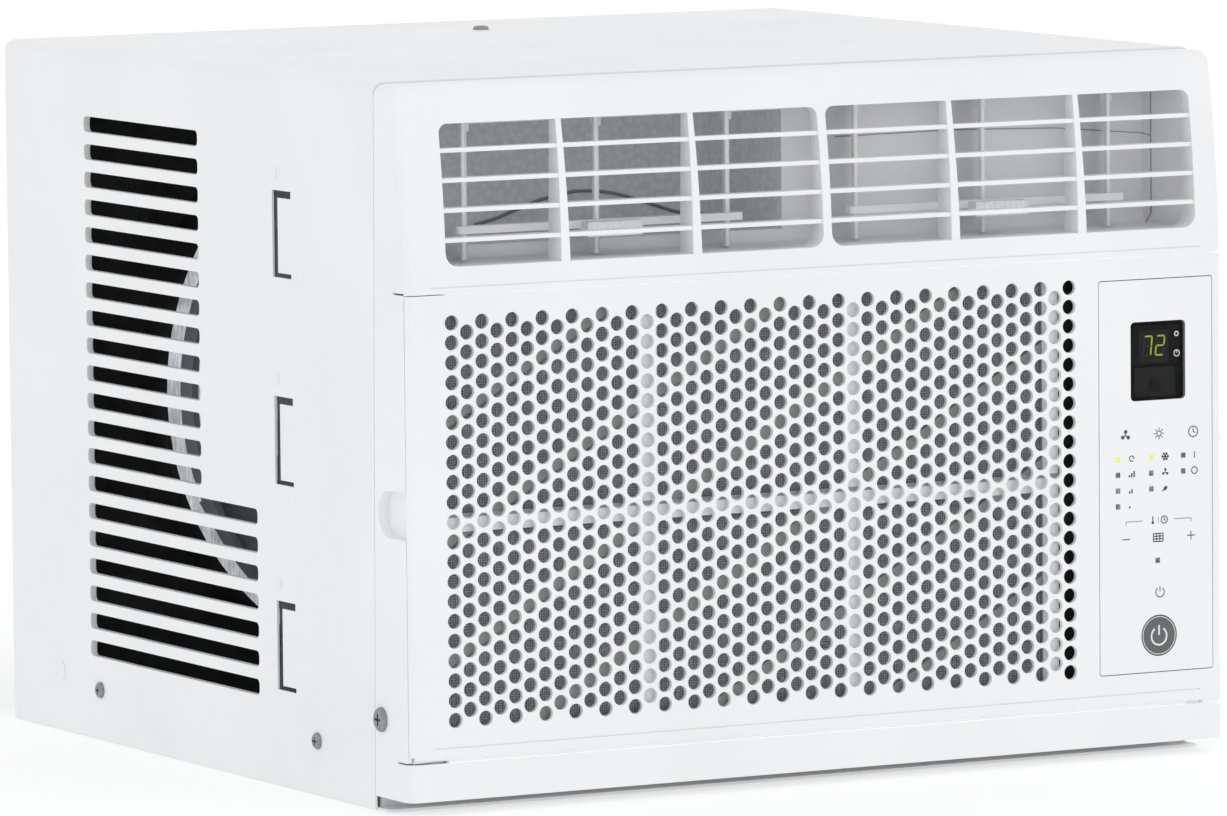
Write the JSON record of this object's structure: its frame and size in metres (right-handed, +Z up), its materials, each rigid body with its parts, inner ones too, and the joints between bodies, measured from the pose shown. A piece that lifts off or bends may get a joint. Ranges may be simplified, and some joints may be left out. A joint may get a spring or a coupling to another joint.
{
  "type": "window air conditioner",
  "caption": "Compact window air conditioner with sheet cabinet, perforated tilting intake door, steering vanes, key panel and full cooling circuit.",
  "frame": {"origin": "on the floor, under the middle of the unit's bounding box", "axes": "+Z up, -Y towards the room (front), +X to the right seen from the room"},
  "size_m": [0.4024, 0.3868, 0.3073],
  "materials": {
    "cabinet_steel": "satin white powder coat",
    "pan_steel": "satin white paint",
    "white_plastic": "fine satin texture",
    "grey_plastic": "matte",
    "duct_plastic": "satin",
    "foam": "beaded foam",
    "galvanised": "galvanised",
    "mesh": "woven nylon mesh",
    "smoked_lens": "gloss",
    "display": "gloss",
    "receiver": "gloss",
    "led_lens": "translucent",
    "board": "solder mask",
    "black_plastic": "matte",
    "key_plastic": "satin",
    "button": "satin",
    "aluminium_fins": "thin bare fins",
    "copper": "copper",
    "black_paint": "gloss black",
    "rubber": "matte",
    "zinc": "zinc plated",
    "motor_steel": "plated",
    "shaft_steel": "ground",
    "capacitor_can": "drawn can"
  },
  "bodies": {
    "root": {"front_bezel": "white_plastic", "outlet_grille": "white_plastic", "outlet_duct": "duct_plastic", "control_panel": "white_plastic", "display_window": "smoked_lens", "display_module": "display", "remote_receiver": "receiver", "led_light_pipes": "led_lens", "circuit_board": "board", "tact_switches": "black_plastic", "control_box": "galvanised", "capacitor": "capacitor_can", "capacitor_clamp": "galvanised", "blower_scroll": "foam", "bulkhead": "galvanised", "fan_motor": "motor_steel", "motor_bracket": "galvanised", "fan_shroud": "black_plastic", "evaporator_coil": "aluminium_fins", "evaporator_bends": "copper", "condenser_coil": "aluminium_fins", "condenser_bends": "copper", "drip_tray": "foam", "compressor": "black_paint", "compressor_grommets": "rubber", "compressor_nuts": "zinc", "terminal_cover": "grey_plastic", "accumulator": "copper", "suction_pipe": "copper", "discharge_pipe": "copper", "liquid_pipe": "copper", "filter_drier": "copper", "capillary_tube": "copper", "room_thermistor": "grey_plastic", "base_pan": "pan_steel", "drain_plug": "rubber", "outer_cabinet": "cabinet_steel", "cabinet_screws": "zinc", "bezel_screws": "zinc"},
    "intake_door": {"intake_grille": "white_plastic", "filter_frame": "white_plastic", "filter_mesh": "mesh"},
    "fan_rotor": {"fan_shaft": "shaft_steel", "blower_wheel": "grey_plastic", "condenser_fan": "grey_plastic"},
    "steering_vane_1": {"steering_vane_1": "white_plastic"},
    "steering_vane_2": {"steering_vane_2": "white_plastic"},
    "steering_vane_3": {"steering_vane_3": "white_plastic"},
    "steering_vane_4": {"steering_vane_4": "white_plastic"},
    "steering_vane_5": {"steering_vane_5": "white_plastic"},
    "steering_vane_6": {"steering_vane_6": "white_plastic"},
    "vane_link_left": {"vane_link_left": "white_plastic"},
    "vane_link_right": {"vane_link_right": "white_plastic"},
    "key_fan": {"key_fan": "key_plastic"},
    "key_mode": {"key_mode": "key_plastic"},
    "key_delay": {"key_delay": "key_plastic"},
    "key_minus": {"key_minus": "key_plastic"},
    "key_filter": {"key_filter": "key_plastic"},
    "key_plus": {"key_plus": "key_plastic"},
    "power_button": {"power_button": "button"}
  },
  "joints": [
    {"name": "intake_door_tilt", "type": "hinge", "parent": "root", "child": "intake_door", "pos_m": [0, -0.1906, 0.0252], "axis": [1, 0, 0], "range_deg": [0, 40]},
    {"name": "fan_spin", "type": "hinge", "parent": "root", "child": "fan_rotor", "pos_m": [-0.028, 0, 0.152], "axis": [0, 1, 0], "continuous": true},
    {"name": "vane_1_turn", "type": "hinge", "parent": "root", "child": "steering_vane_1", "pos_m": [-0.15425, -0.161, 0.2589], "axis": [0, 0, 1], "range_deg": [-11.6, 68.4]},
    {"name": "vane_2_turn", "type": "hinge", "parent": "root", "child": "steering_vane_2", "pos_m": [-0.09135, -0.161, 0.2589], "axis": [0, 0, 1], "range_deg": [-11.6, 68.4]},
    {"name": "vane_3_turn", "type": "hinge", "parent": "root", "child": "steering_vane_3", "pos_m": [-0.02845, -0.161, 0.2589], "axis": [0, 0, 1], "range_deg": [-11.6, 68.4]},
    {"name": "vane_4_turn", "type": "hinge", "parent": "root", "child": "steering_vane_4", "pos_m": [0.03445, -0.161, 0.2589], "axis": [0, 0, 1], "range_deg": [-11.6, 68.4]},
    {"name": "vane_5_turn", "type": "hinge", "parent": "root", "child": "steering_vane_5", "pos_m": [0.09735, -0.161, 0.2589], "axis": [0, 0, 1], "range_deg": [-11.6, 68.4]},
    {"name": "vane_6_turn", "type": "hinge", "parent": "root", "child": "steering_vane_6", "pos_m": [0.16025, -0.161, 0.2589], "axis": [0, 0, 1], "range_deg": [-11.6, 68.4]},
    {"name": "link_left_turn", "type": "hinge", "parent": "steering_vane_2", "child": "vane_link_left", "pos_m": [-0.09658, -0.17068, 0.2425], "axis": [0, 0, 1], "range_deg": [-68.4, 11.6]},
    {"name": "link_right_turn", "type": "hinge", "parent": "steering_vane_5", "child": "vane_link_right", "pos_m": [0.09212, -0.17068, 0.2425], "axis": [0, 0, 1], "range_deg": [-68.4, 11.6]},
    {"name": "key_fan_press", "type": "slide", "parent": "root", "child": "key_fan", "axis": [0, 1, 0], "range_m": [0, 0.00025], "stiffness_N_per_m": 400, "springref_m": -0.0005},
    {"name": "key_mode_press", "type": "slide", "parent": "root", "child": "key_mode", "axis": [0, 1, 0], "range_m": [0, 0.00025], "stiffness_N_per_m": 400, "springref_m": -0.0005},
    {"name": "key_delay_press", "type": "slide", "parent": "root", "child": "key_delay", "axis": [0, 1, 0], "range_m": [0, 0.00025], "stiffness_N_per_m": 400, "springref_m": -0.0005},
    {"name": "key_minus_press", "type": "slide", "parent": "root", "child": "key_minus", "axis": [0, 1, 0], "range_m": [0, 0.00025], "stiffness_N_per_m": 400, "springref_m": -0.0005},
    {"name": "key_filter_press", "type": "slide", "parent": "root", "child": "key_filter", "axis": [0, 1, 0], "range_m": [0, 0.00025], "stiffness_N_per_m": 400, "springref_m": -0.0005},
    {"name": "key_plus_press", "type": "slide", "parent": "root", "child": "key_plus", "axis": [0, 1, 0], "range_m": [0, 0.00025], "stiffness_N_per_m": 400, "springref_m": -0.0005},
    {"name": "power_button_press", "type": "slide", "parent": "root", "child": "power_button", "axis": [0, 1, 0], "range_m": [0, 0.0004], "stiffness_N_per_m": 400, "springref_m": -0.0005}
  ],
  "couplings": [
    {"joint": "vane_1_turn", "follows": "vane_2_turn", "ratio": 1},
    {"joint": "vane_3_turn", "follows": "vane_2_turn", "ratio": 1},
    {"joint": "link_left_turn", "follows": "vane_2_turn", "ratio": -1},
    {"joint": "vane_4_turn", "follows": "vane_5_turn", "ratio": 1},
    {"joint": "vane_6_turn", "follows": "vane_5_turn", "ratio": 1},
    {"joint": "link_right_turn", "follows": "vane_5_turn", "ratio": -1}
  ]
}
